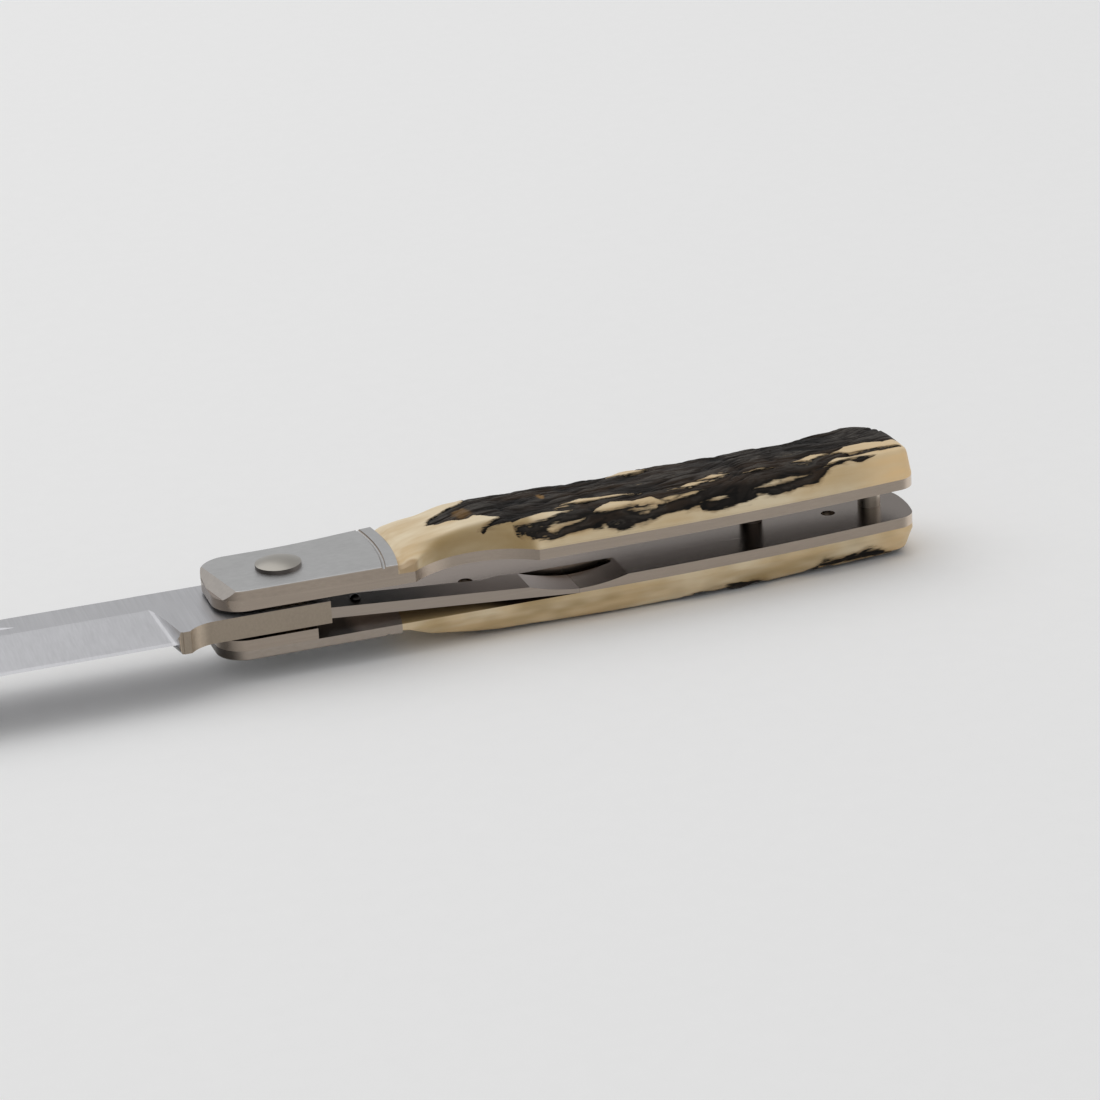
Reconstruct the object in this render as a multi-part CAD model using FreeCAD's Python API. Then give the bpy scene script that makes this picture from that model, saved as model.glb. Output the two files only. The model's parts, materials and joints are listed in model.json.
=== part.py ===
import FreeCAD, Part
import math
import os
from FreeCAD import Vector

# A folding knife with a liner lock and stag scales, drawn open, in millimetres.
# While it is drawn, the pivot axis is Z through the origin, the blade points along -X and the butt along +X,
# the spine side is +Y, the edge side is -Y, and the front of the knife faces +Z.

# Layers, from the middle plane of the blade outwards
BLADE_THICKNESS = 3.3
WASHER_PLAY = 0.05
WASHER_THICKNESS = 0.5
LINER_THICKNESS = 1.6
BOLSTER_THICKNESS = 1.45

# Blade, measured from the pivot
BLADE_REACH = 80.0
BLADE_SPINE = 6.7
EDGE_REACH = 9.5
TIP_HEIGHT = 2.5
TIP_WIDTH = 0.3
BELLY_START = 46.0
SPINE_DROP_START = 40.0
PLUNGE_REACH = 16.5
GRIND_WIDTH = 10.3
EDGE_BEVEL_WIDTH = 0.7
EDGE_BEVEL_HALF = 0.2
TIP_HALF_THICKNESS = 0.6
BLADE_STATIONS = 10
PLUNGE_SWEEP = 1.3
PLUNGE_SLANT = 0.11
PLUNGE_STATIONS = 7
PLUNGE_FIRST_SHARE = 0.08

# Tang and ricasso
TANG_NEAR = 7.3
TANG_WALL = 0.9
LOCK_FACE = 5.4
LOCK_FACE_HEIGHT = 0.4
LOCK_FACE_SLOPE = 0.8
KICK_REACH = 9.3
KICK_WIDTH = 1.3
KICK_SWEEP = 4.0
CHOIL_RADIUS = 0.35

# Nail nick in the front of the blade
NICK_DISTANCE = 42.0
NICK_BELOW_SPINE = 2.6
NICK_LENGTH = 9.0
NICK_DEPTH = 0.5
NICK_WIDTH = 1.2

# Handle outline
FRONT_REACH = 10.6
BUTT_BEYOND_TIP = 16.4
BUTT_BULGE = 1.2
BUTT_APEX = 3.0
NEAR_EDGE_BEYOND_BLADE = 0.35
NEAR_STRAIGHT = 45.0
NEAR_RISE = 3.1
SPINE_FRONT = 7.4
SPINE_FLARE_START = -2.0
BOLSTER_END = 16.5
EDGE_COVER_BOLSTER = -0.25
EDGE_COVER_MIDDLE = 0.6
EDGE_COVER_REAR = 1.4
EDGE_COVER_BUTT = 0.6
COVER_MIDDLE_REACH = 42.0
COVER_REAR_FROM_BUTT = 17.0
FRONT_CORNER_RADIUS = 4.5
BUTT_NEAR_RADIUS = 3.0
BUTT_SPINE_RADIUS = 6.5

# Bolsters: bowed joint and groove, and the slanted bevel on the front end of the front one
BOLSTER_EDGE_RADIUS = 0.25
JOINT_BOW_RADIUS = 43.0
JOINT_BOW_APEX = 2.0
GROOVE_FROM_END = 2.0
GROOVE_WIDTH = 0.6
BEVEL_NEAR_RUN = 2.9
BEVEL_ANGLE = 45.0

# Scales: height of the crown over the liner, length of the swell behind the bolster, and flanks that lean in
FRONT_SCALE_HEIGHT = 4.5
FRONT_SCALE_CROWN = 0.9
FRONT_SCALE_RAMP = 15.0
FRONT_FLANK_LEAN = 1.0
BACK_SCALE_HEIGHT = 4.9
BACK_SCALE_CROWN = 0.0
BACK_SCALE_RAMP = 16.0
BACK_FLANK_LEAN = 0.7
SCALE_STATIONS = 9
SCALE_BUTT_FALL = 0.4
SCALE_BUTT_RAMP = 20.0
SCALE_JOINT_CROWN = 0.1
SCALE_SHOULDER_RADIUS = 1.2
FLANK_ABOVE_CROWN = 0.4

# Thumb relief in the front liner and front scale
RELIEF_MIDDLE = 27.2
RELIEF_LENGTH = 18.4
RELIEF_DEPTH = 3.5

# Pivot
BARREL_DIAMETER = 4.8
BARREL_PLAY = 0.03
HEAD_DIAMETER = 6.6
HEAD_RIM = 0.6
HEAD_DOME = 0.7
PIVOT_SCREW_DIAMETER = 2.6
PIVOT_SCREW_HEAD = 6.0
PIVOT_SCREW_LENGTH = 5.0
SCREW_HEAD_PLAY = 0.05
DRIVE_SLOT_WIDTH = 0.9
DRIVE_SLOT_DEPTH = 0.6

# Stop pin in the tang and its arc slots in the liners
STOP_RADIUS = 5.2
STOP_DIAMETER = 1.6
STOP_ANGLE = 20.0
STOP_PLAY = 0.05
STOP_END_PLAY = 0.1
FOLD_ANGLE = 180.0
WASHER_TO_STOP = 0.2
WASHER_BORE_PLAY = 0.1

# Lock bar, and the bent slot that frees it from the back liner
SLOT_WIDTH = 1.3
SLOT_FRONT_Y = -1.65
SLOT_REAR_Y = -0.6
SLOT_BEND = 29.0
SLOT_BEND_RUN = 2.5
SLOT_BEYOND_FLEXURE = 7.0
FLEXURE_REACH = 42.0
FLEXURE_THICKNESS = 0.65
FLEXURE_GAP = 0.02
SCOOP_LENGTH = 15.0
LOCK_LIFT_ANGLE = 4.3
LOCK_PLAY = 0.03
LOCK_WINDOW_AHEAD = 2.05
BALL_DIAMETER = 1.6
BALL_STANDING = 0.65
BALL_BEHIND_LOCK_FACE = 4.1
BALL_BELOW_SLOT = 2.0
DIMPLE_PLAY = 0.1

# Stand-offs and their countersunk screws
STANDOFF_DIAMETER = 3.4
MIDDLE_STANDOFF_BEFORE_TIP = 7.1
MIDDLE_STANDOFF_SPINE = 5.0
REAR_STANDOFF_FROM_BUTT = 5.3
REAR_STANDOFF_SPINE = 3.3
STANDOFF_SCREW_DIAMETER = 1.6
STANDOFF_SCREW_HEAD = 2.8
STANDOFF_SCREW_LENGTH = 1.8

# Bolster pins
BOLSTER_PIN_DIAMETER = 1.6
BOLSTER_PIN_COVER = 0.5
BOLSTER_PIN_FROM_FRONT = 3.6
BOLSTER_PIN_FROM_END = 4.5
BOLSTER_PIN_NEAR = 3.4
BOLSTER_PIN_SPINE = 5.4

# Scale screws, driven from inside the liners
SCALE_SCREW_DIAMETER = 1.3
SCALE_SCREW_HEAD = 2.1
SCALE_SCREW_HEAD_HEIGHT = 0.5
SCALE_SCREW_SINK = 0.6
SCALE_SCREW_BITE = 1.6
SCALE_SCREW_BEHIND_BOLSTER = 10.8
SCALE_SCREW_FRONT_SPINE = 0.7
SCALE_SCREW_FROM_BUTT = 12.2
SCALE_SCREW_REAR_SPINE = 2.5

# Heights of the layers and reaches that follow from the sizes above
TANG_HALF = BLADE_THICKNESS / 2
LINER_IN = TANG_HALF + WASHER_PLAY + WASHER_THICKNESS
LINER_OUT = LINER_IN + LINER_THICKNESS
BOLSTER_OUT = LINER_OUT + BOLSTER_THICKNESS
NEAR_REACH = BLADE_SPINE + NEAR_EDGE_BEYOND_BLADE
BUTT_REACH = BLADE_REACH + BUTT_BEYOND_TIP
SPINE_BOLSTER = EDGE_REACH + EDGE_COVER_BOLSTER
SPINE_MIDDLE = EDGE_REACH + EDGE_COVER_MIDDLE
SPINE_REAR = EDGE_REACH + EDGE_COVER_REAR
SPINE_BUTT = EDGE_REACH + EDGE_COVER_BUTT
SCALE_TOP = LINER_OUT + max(FRONT_SCALE_HEIGHT, BACK_SCALE_HEIGHT)
JOINT_CENTRE = (BOLSTER_END - JOINT_BOW_RADIUS, JOINT_BOW_APEX)
SCALE_START = BOLSTER_END - (NEAR_REACH + SPINE_REAR) ** 2 / (6 * JOINT_BOW_RADIUS)
STOP_X = STOP_RADIUS * math.cos(math.radians(STOP_ANGLE))
STOP_Y = STOP_RADIUS * math.sin(math.radians(STOP_ANGLE))
TANG_RADIUS = STOP_RADIUS + STOP_DIAMETER / 2 + TANG_WALL
SCOOP_DEPTH = LINER_THICKNESS - FLEXURE_THICKNESS
FLEXURE_MIDDLE = -LINER_OUT + FLEXURE_THICKNESS / 2
BEYOND = 3.0
BOX_ACCURACY = 0.005

# Places of the pieces that repeat
STANDOFFS = {
    "middle_standoff": (BLADE_REACH - MIDDLE_STANDOFF_BEFORE_TIP, MIDDLE_STANDOFF_SPINE),
    "rear_standoff": (BUTT_REACH - REAR_STANDOFF_FROM_BUTT, REAR_STANDOFF_SPINE),
}
BOLSTER_PINS = [
    (-FRONT_REACH + BOLSTER_PIN_FROM_FRONT, -BOLSTER_PIN_NEAR),
    (BOLSTER_END - BOLSTER_PIN_FROM_END, BOLSTER_PIN_SPINE),
]
SCALE_SCREWS = [
    (BOLSTER_END + SCALE_SCREW_BEHIND_BOLSTER, SCALE_SCREW_FRONT_SPINE),
    (BUTT_REACH - SCALE_SCREW_FROM_BUTT, SCALE_SCREW_REAR_SPINE),
]


def block(x_low, x_high, y_low, y_high, z_low, z_high):
    """A box between two corners."""
    corner = Vector(x_low, y_low, z_low)
    return Part.makeBox(x_high - x_low, y_high - y_low, z_high - z_low, corner)


def rod(place, z_low, z_high, diameter):
    """A round rod along Z at a place in plan."""
    return Part.makeCylinder(diameter / 2, z_high - z_low, Vector(place[0], place[1], z_low))


def rods(places, z_low, z_high, diameter):
    """The same rod at several places, as one group of solids."""
    return Part.makeCompound([rod(place, z_low, z_high, diameter) for place in places])


def to_back(shape):
    """The mirror image of a front piece, for the back of the knife."""
    return shape.mirror(Vector(0, 0, 0), Vector(0, 0, 1))


def arc_sag(run, rise):
    """Radius of an arc that leaves a straight line at a tangent and rises by so much over a run."""
    return (run ** 2 + rise ** 2) / (2 * rise)


def handle_plate(z_low, z_high, inset=0.0):
    """A plate with the outline of the handle: straight near edge that lifts to the butt, flared spine."""
    near = -NEAR_REACH + inset
    front_x = -FRONT_REACH + inset
    butt_x = BUTT_REACH - BUTT_BULGE - inset
    front_near = Vector(front_x, near, z_low)
    near_bend = Vector(NEAR_STRAIGHT, near, z_low)
    butt_near = Vector(butt_x, near + NEAR_RISE, z_low)
    butt_apex = Vector(BUTT_REACH - inset, BUTT_APEX, z_low)
    butt_spine = Vector(butt_x, SPINE_BUTT - inset, z_low)
    flare = Vector(SPINE_FLARE_START, SPINE_FRONT - inset, z_low)
    front_spine = Vector(front_x, SPINE_FRONT - inset, z_low)

    near_run = butt_x - NEAR_STRAIGHT
    near_radius = arc_sag(near_run, NEAR_RISE)
    half_turn = math.asin(near_run / near_radius) / 2
    lift = near_radius * (1 - math.cos(half_turn))
    near_middle = near_bend + Vector(near_radius * math.sin(half_turn), lift, 0)

    spine = Part.BSplineCurve()
    spine.interpolate(
        Points=[
            butt_spine,
            Vector(BUTT_REACH - COVER_REAR_FROM_BUTT, SPINE_REAR - inset, z_low),
            Vector(COVER_MIDDLE_REACH, SPINE_MIDDLE - inset, z_low),
            Vector(BOLSTER_END, SPINE_BOLSTER - inset, z_low),
            flare,
        ],
        InitialTangent=Vector(-1, 0.15, 0),
        FinalTangent=Vector(-1, 0, 0),
    )
    edges = [
        Part.LineSegment(front_near, near_bend).toShape(),
        Part.Arc(near_bend, near_middle, butt_near).toShape(),
        Part.Arc(butt_near, butt_apex, butt_spine).toShape(),
        spine.toShape(),
        Part.LineSegment(flare, front_spine).toShape(),
        Part.LineSegment(front_spine, front_near).toShape(),
    ]
    plate = Part.Face(Part.Wire(edges)).extrude(Vector(0, 0, z_high - z_low))
    corners = [
        (front_near, FRONT_CORNER_RADIUS),
        (front_spine, FRONT_CORNER_RADIUS),
        (butt_near, BUTT_NEAR_RADIUS),
        (butt_spine, BUTT_SPINE_RADIUS),
    ]
    for corner, radius in corners:
        inset_radius = radius ** 2 / (radius + inset)
        plate = plate.makeFillet(inset_radius, [upright_edge(plate, corner)])
    return plate


def upright_edge(plate, corner):
    """The edge of a plate that stands on a corner of its outline."""
    def distance(edge):
        return edge.CenterOfMass.distanceToPoint(corner)

    upright = [edge for edge in plate.Edges if abs(edge.tangentAt(edge.FirstParameter).z) > 0.99]
    return min(upright, key=distance)


def thumb_relief():
    """The round cut that lets the thumb reach the lock bar from the near edge."""
    half = RELIEF_LENGTH / 2
    radius = (half ** 2 + RELIEF_DEPTH ** 2) / (2 * RELIEF_DEPTH)
    centre = (RELIEF_MIDDLE, -NEAR_REACH + RELIEF_DEPTH - radius)
    return rod(centre, LINER_IN - BEYOND, SCALE_TOP + BEYOND, 2 * radius)


def stop_slot():
    """The arc slot, through both liners, that the stop pin swings in."""
    half = STOP_DIAMETER / 2 + STOP_PLAY
    low = -LINER_OUT - BEYOND
    height = 2 * (LINER_OUT + BEYOND)
    at = Vector(0, 0, low)
    outer = Part.makeCylinder(STOP_RADIUS + half, height, at, Vector(0, 0, 1), FOLD_ANGLE)
    inner = Part.makeCylinder(STOP_RADIUS - half, height, at)
    slot = outer.cut(inner)
    slot.rotate(Vector(0, 0, 0), Vector(0, 0, 1), STOP_ANGLE)
    ends = [(STOP_X, STOP_Y), (-STOP_X, -STOP_Y)]
    return slot.fuse([rod(end, low, low + height, 2 * half) for end in ends])


def front_liner():
    """The front liner, with the holes that both liners share and the thumb relief."""
    return liner_blank().cut(thumb_relief())


def liner_blank():
    """A front liner with every hole that the two liners share."""
    liner = handle_plate(LINER_IN, LINER_OUT)
    cuts = [rod((0, 0), LINER_IN - BEYOND, LINER_OUT + BEYOND, BARREL_DIAMETER), stop_slot()]
    cuts += [standoff_screw(place) for place in STANDOFFS.values()]
    cuts += [scale_screw_hole(place) for place in SCALE_SCREWS]
    cuts += [rod(place, LINER_IN, LINER_OUT, BOLSTER_PIN_DIAMETER) for place in BOLSTER_PINS]
    return liner.cut(cuts)


def back_liner():
    """The back liner, with the window of the lock bar, the round end of its slot and half of the scoop."""
    liner = to_back(liner_blank())
    low = -LINER_OUT - BEYOND
    high = -LINER_IN + BEYOND
    half_slot = SLOT_WIDTH / 2
    slot_end = FLEXURE_REACH + SLOT_BEYOND_FLEXURE - half_slot
    window = near_side_of_slot(half_slot, FLEXURE_REACH)
    slot = block(FLEXURE_REACH, slot_end, SLOT_REAR_Y - half_slot, SLOT_REAR_Y + half_slot, low, high)
    round_end = rod((slot_end, SLOT_REAR_Y), low, high, SLOT_WIDTH)
    return liner.cut([window, slot, round_end, scoop()])


def near_side_of_slot(offset, x_high):
    """All that lies on the near side of the slot's middle line, moved by an offset, up to a reach."""
    x_low = LOCK_FACE - LOCK_WINDOW_AHEAD
    near = -NEAR_REACH - BEYOND
    low = -LINER_OUT - BEYOND
    corners = [
        Vector(x_low, near, low),
        Vector(x_low, SLOT_FRONT_Y + offset, low),
        Vector(SLOT_BEND, SLOT_FRONT_Y + offset, low),
        Vector(SLOT_BEND + SLOT_BEND_RUN, SLOT_REAR_Y + offset, low),
        Vector(x_high, SLOT_REAR_Y + offset, low),
        Vector(x_high, near, low),
    ]
    outline = Part.makePolygon(corners + corners[:1])
    return Part.Face(outline).extrude(Vector(0, 0, 2 * (LINER_OUT + BEYOND)))


def scoop():
    """The round-bottomed cut across the lock bar that leaves the thin flexure."""
    half = SCOOP_LENGTH / 2
    radius = (half ** 2 + SCOOP_DEPTH ** 2) / (2 * SCOOP_DEPTH)
    centre = Vector(FLEXURE_REACH, -NEAR_REACH - BEYOND, -LINER_IN - SCOOP_DEPTH + radius)
    return Part.makeCylinder(radius, NEAR_REACH + BEYOND, centre, Vector(0, 1, 0))


def lift_lock(shape):
    """Turn a piece of the lock from flush with the back liner to sprung in behind the tang."""
    lifted = shape.copy()
    lifted.rotate(Vector(FLEXURE_REACH, 0, FLEXURE_MIDDLE), Vector(0, 1, 0), LOCK_LIFT_ANGLE)
    return lifted


def ball_centre():
    """Middle of the detent ball while the lock bar is flush."""
    height = -LINER_IN + BALL_STANDING - BALL_DIAMETER / 2
    depth = SLOT_FRONT_Y - SLOT_WIDTH / 2 - BALL_BELOW_SLOT
    return Vector(LOCK_FACE + BALL_BEHIND_LOCK_FACE, depth, height)


def lock_bar():
    """The near half of the back liner, sprung in so that its end stands behind the tang."""
    blank = handle_plate(-LINER_OUT, -LINER_IN)
    strip = near_side_of_slot(-SLOT_WIDTH / 2, FLEXURE_REACH - FLEXURE_GAP)
    ball = ball_centre()
    ball_hole = rod((ball.x, ball.y), ball.z, LINER_OUT, BALL_DIAMETER)
    ball_seat = Part.makeSphere(BALL_DIAMETER / 2, ball)
    bar = lift_lock(blank.common(strip).cut([scoop(), ball_hole, ball_seat]))
    tang_side = block(
        -FRONT_REACH, LOCK_FACE + LOCK_PLAY,
        -NEAR_REACH - BEYOND, NEAR_REACH,
        -LINER_OUT - BEYOND, LINER_OUT,
    )
    return bar.cut(tang_side)


def detent_ball():
    """The ball in the lock bar that drops into a dimple in the tang when the blade is closed."""
    return lift_lock(Part.makeSphere(BALL_DIAMETER / 2, ball_centre()))


def joint_disc():
    """A wide disc whose rim is the bowed joint of bolster and scale."""
    return rod(JOINT_CENTRE, LINER_OUT - BEYOND, SCALE_TOP + BEYOND, 2 * JOINT_BOW_RADIUS)


def on_joint(edge):
    """True for an edge that lies in the bowed joint."""
    middle = edge.valueAt((edge.FirstParameter + edge.LastParameter) / 2)
    reach = math.hypot(middle.x - JOINT_CENTRE[0], middle.y - JOINT_CENTRE[1])
    return reach > JOINT_BOW_RADIUS - 0.01


def bolster(pivot_hole):
    """A front bolster: plate with softened edges, one groove across it, and blind holes for its pins."""
    plate = handle_plate(LINER_OUT, BOLSTER_OUT).common(joint_disc())
    top_edges = [
        edge for edge in plate.Edges
        if min(vertex.Z for vertex in edge.Vertexes) > BOLSTER_OUT - 0.01 and not on_joint(edge)
    ]
    radius = min(BOLSTER_EDGE_RADIUS, 0.8 * BOLSTER_THICKNESS)
    plate = plate.makeFillet(radius, top_edges)
    groove_middle = Vector(JOINT_CENTRE[0], JOINT_CENTRE[1], BOLSTER_OUT)
    groove = Part.makeTorus(JOINT_BOW_RADIUS - GROOVE_FROM_END, GROOVE_WIDTH / 2, groove_middle)
    cuts = [groove, rod((0, 0), LINER_OUT - BEYOND, BOLSTER_OUT + BEYOND, pivot_hole)]
    pin_end = BOLSTER_OUT - BOLSTER_PIN_COVER
    cuts += [rod(place, LINER_OUT, pin_end, BOLSTER_PIN_DIAMETER) for place in BOLSTER_PINS]
    return plate.cut(cuts)


def front_bevel():
    """What the slanted bevel takes off the front end of a bolster, from nothing at the spine."""
    near = Vector(-FRONT_REACH + BEVEL_NEAR_RUN, -NEAR_REACH, BOLSTER_OUT)
    along = near - Vector(-FRONT_REACH, SPINE_FRONT, BOLSTER_OUT)
    outward = Vector(along.y, -along.x, 0).normalize() * FRONT_REACH
    fall = Vector(0, 0, -FRONT_REACH * math.tan(math.radians(BEVEL_ANGLE)))
    rise = Vector(0, 0, BEYOND)
    start = near + along
    corners = [start, start + outward + fall, start + outward + rise, start + rise]
    return Part.Face(Part.makePolygon(corners + corners[:1])).extrude(along * -3)


def bolster_pins():
    """The front pair of pins that rivet a bolster to its liner."""
    return rods(BOLSTER_PINS, LINER_IN, BOLSTER_OUT - BOLSTER_PIN_COVER, BOLSTER_PIN_DIAMETER)


def crown_section(x, edge_height, crown):
    """A cross-section of the crown: upright sides and an arched top, or a level one where the crown is 0."""
    near = -NEAR_REACH - BEYOND
    far = SPINE_REAR + BEYOND
    floor = LINER_OUT - BEYOND
    edge_top = LINER_OUT + edge_height
    near_top = Vector(x, near, edge_top)
    far_top = Vector(x, far, edge_top)
    middle = Vector(x, (near + far) / 2, edge_top + crown)
    top = Part.Arc(near_top, middle, far_top) if crown else Part.LineSegment(near_top, far_top)
    return Part.Wire([
        Part.LineSegment(Vector(x, near, floor), near_top).toShape(),
        top.toShape(),
        Part.LineSegment(far_top, Vector(x, far, floor)).toShape(),
        Part.LineSegment(Vector(x, far, floor), Vector(x, near, floor)).toShape(),
    ])


def smooth(share):
    """0 below 0, 1 above 1, and an even S-curve between."""
    share = min(1.0, max(0.0, share))
    return share * share * (3 - 2 * share)


def leaning_plate(lean, height):
    """A plate of the handle's outline, upright to the level of the bolsters and leaning in above it."""
    upright = handle_plate(LINER_OUT, BOLSTER_OUT)
    top_level = LINER_OUT + height + FLANK_ABOVE_CROWN
    top = handle_plate(top_level, top_level + BEYOND, lean * (top_level - BOLSTER_OUT))
    foot = max(upright.Faces, key=face_height).OuterWire
    head = min(top.Faces, key=face_height).OuterWire
    return upright.fuse(Part.makeLoft([foot, head], True, True))


def face_height(face):
    """Height of the middle of a face."""
    return face.CenterOfMass.z


def scale_blank(height, full_crown, ramp, flank_lean):
    """A front scale before its cuts: level with the bolster at the joint, then swelling and arched."""
    step = (BUTT_REACH + BEYOND - SCALE_START) / (SCALE_STATIONS - 1)
    joint_crown = min(SCALE_JOINT_CROWN, full_crown)
    joint_height = BOLSTER_THICKNESS - joint_crown
    sections = []
    for index in range(SCALE_STATIONS):
        x = SCALE_START + step * index
        swell = smooth((x - SCALE_START) / ramp)
        fall = smooth((x - BUTT_REACH + SCALE_BUTT_RAMP) / SCALE_BUTT_RAMP)
        crown = joint_crown + (full_crown - joint_crown) * swell
        full_height = height - full_crown - SCALE_BUTT_FALL * fall
        edge_height = joint_height + (full_height - joint_height) * swell
        sections.append(crown_section(x, edge_height, crown))
    arch = Part.makeLoft(sections, True, False)
    blank = leaning_plate(flank_lean, height).common(arch)
    shoulders = [edge for edge in blank.Edges if on_shoulder(edge, ramp)]
    return blank.makeFillet(SCALE_SHOULDER_RADIUS, shoulders).cut(joint_disc())


def on_shoulder(edge, ramp):
    """True for an edge that runs along the top of a flank, and not up it or along its foot."""
    levels = [vertex.Z for vertex in edge.Vertexes]
    reaches = [vertex.X for vertex in edge.Vertexes]
    climbs = max(levels) - min(levels) > edge.Length / 2
    high = max(levels) > BOLSTER_OUT + SCALE_SHOULDER_RADIUS
    return high and max(reaches) > BOLSTER_END + ramp and not climbs


def drilled_scale(blank):
    """A scale blank with the pilot holes of its two screws."""
    depth = LINER_OUT + SCALE_SCREW_BITE
    return blank.cut([rod(place, LINER_OUT, depth, SCALE_SCREW_DIAMETER) for place in SCALE_SCREWS])


def scale_screw_hole(place):
    """Counterbored hole, from inside the liner, for one scale screw."""
    floor = LINER_IN + SCALE_SCREW_SINK + SCALE_SCREW_HEAD_HEIGHT
    bore = rod(place, LINER_IN - BEYOND, floor, SCALE_SCREW_HEAD)
    return bore.fuse(rod(place, LINER_IN, LINER_OUT + BEYOND, SCALE_SCREW_DIAMETER))


def scale_screw(place):
    """One screw that holds a front scale, with its head sunk in the liner."""
    head_low = LINER_IN + SCALE_SCREW_SINK
    head = rod(place, head_low, head_low + SCALE_SCREW_HEAD_HEIGHT, SCALE_SCREW_HEAD)
    shank = rod(place, head_low, LINER_OUT + SCALE_SCREW_BITE, SCALE_SCREW_DIAMETER)
    slot = block(
        place[0] - SCALE_SCREW_HEAD, place[0] + SCALE_SCREW_HEAD,
        place[1] - SCALE_SCREW_DIAMETER / 6, place[1] + SCALE_SCREW_DIAMETER / 6,
        head_low - BEYOND, head_low + SCALE_SCREW_HEAD_HEIGHT / 2,
    )
    return head.fuse(shank).cut(slot)


def scale_screws():
    """Both screws of a front scale."""
    return Part.makeCompound([scale_screw(place) for place in SCALE_SCREWS])


def standoff(place):
    """A round spacer between the liners, bored through for its screws."""
    body = rod(place, -LINER_IN, LINER_IN, STANDOFF_DIAMETER)
    return body.cut(rod(place, -LINER_IN - BEYOND, LINER_IN + BEYOND, STANDOFF_SCREW_DIAMETER))


def standoff_screw(place):
    """A countersunk screw through the front liner into a stand-off, level with the liner's outside."""
    drop = (STANDOFF_SCREW_HEAD - STANDOFF_SCREW_DIAMETER) / 2
    head = Part.makeCone(
        STANDOFF_SCREW_DIAMETER / 2, STANDOFF_SCREW_HEAD / 2, drop,
        Vector(place[0], place[1], LINER_OUT - drop),
    )
    return head.fuse(rod(place, LINER_IN - STANDOFF_SCREW_LENGTH, LINER_OUT - drop, STANDOFF_SCREW_DIAMETER))


def standoff_screws():
    """The front screws of both stand-offs."""
    return Part.makeCompound([standoff_screw(place) for place in STANDOFFS.values()])


def pivot_barrel():
    """The pivot: a tube through every layer with a low domed head on the front bolster."""
    rim_top = BOLSTER_OUT + HEAD_RIM
    dome_radius = arc_sag(HEAD_DIAMETER / 2, HEAD_DOME)
    dome = Part.makeSphere(dome_radius, Vector(0, 0, rim_top + HEAD_DOME - dome_radius))
    dome = dome.common(rod((0, 0), rim_top, rim_top + HEAD_DOME + BEYOND, HEAD_DIAMETER))
    head = rod((0, 0), BOLSTER_OUT, rim_top, HEAD_DIAMETER)
    barrel = rod((0, 0), -LINER_OUT, BOLSTER_OUT, BARREL_DIAMETER)
    bore = rod((0, 0), -LINER_OUT - BEYOND, -LINER_OUT + PIVOT_SCREW_LENGTH, PIVOT_SCREW_DIAMETER)
    return barrel.fuse([head, dome]).removeSplitter().cut(bore)


def pivot_screw():
    """The screw that closes the pivot from the back, with its head level with the back bolster."""
    head = rod((0, 0), -BOLSTER_OUT, -LINER_OUT, PIVOT_SCREW_HEAD)
    shank = rod((0, 0), -LINER_OUT, -LINER_OUT + PIVOT_SCREW_LENGTH, PIVOT_SCREW_DIAMETER)
    half = DRIVE_SLOT_WIDTH / 2
    slot = block(
        -PIVOT_SCREW_HEAD, PIVOT_SCREW_HEAD, -half, half,
        -BOLSTER_OUT - BEYOND, -BOLSTER_OUT + DRIVE_SLOT_DEPTH,
    )
    return head.fuse(shank).cut(slot)


def washer():
    """The front washer, between the tang and the liner."""
    outer = 2 * (STOP_RADIUS - STOP_DIAMETER / 2 - WASHER_TO_STOP)
    ring = rod((0, 0), TANG_HALF + WASHER_PLAY, LINER_IN, outer)
    return ring.cut(rod((0, 0), 0, LINER_OUT, BARREL_DIAMETER + 2 * WASHER_BORE_PLAY))


def stop_pin():
    """The pin in the tang whose ends run in the arc slots of the liners."""
    reach = LINER_OUT - STOP_END_PLAY
    return rod((STOP_X, STOP_Y), -reach, reach, STOP_DIAMETER)


def curve_rise(x, start, reach, rise):
    """How far an arc that is tangent at start has risen at x, when it rises by so much at its reach."""
    if x <= start:
        return 0.0
    radius = arc_sag(reach - start, rise)
    return radius - math.sqrt(radius ** 2 - (x - start) ** 2)


def blade_section(distance):
    """Cross-section of the ground blade at a distance from the pivot: flats, main bevels, edge bevels."""
    tip_low = TIP_HEIGHT - TIP_WIDTH / 2
    tip_high = TIP_HEIGHT + TIP_WIDTH / 2
    edge = -EDGE_REACH + curve_rise(distance, BELLY_START, BLADE_REACH, EDGE_REACH + tip_low)
    back = BLADE_SPINE - curve_rise(distance, SPINE_DROP_START, BLADE_REACH, BLADE_SPINE - tip_high)
    width = back - edge
    full_width = BLADE_SPINE + EDGE_REACH
    sweep = min(1.0, (distance - PLUNGE_REACH) / PLUNGE_SWEEP)
    ground = PLUNGE_FIRST_SHARE + (1 - PLUNGE_FIRST_SHARE) * (1 - (1 - sweep) ** 2)
    shrink = ground * width / full_width
    grind = edge + GRIND_WIDTH * shrink
    shoulder = edge + EDGE_BEVEL_WIDTH * shrink
    taper = max(0.0, (distance - SPINE_DROP_START) / (BLADE_REACH - SPINE_DROP_START))
    half = TANG_HALF + (TIP_HALF_THICKNESS - TANG_HALF) * taper ** 2
    shoulder_half = half * (1 - ground * (1 - EDGE_BEVEL_HALF / TANG_HALF))
    outline = [
        (back, half), (grind, half), (shoulder, shoulder_half), (edge, 0),
        (shoulder, -shoulder_half), (grind, -half), (back, -half),
    ]
    points = [Vector(-distance - slant(distance) * (y + EDGE_REACH), y, z) for y, z in outline]
    return Part.makePolygon(points + points[:1])


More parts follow.
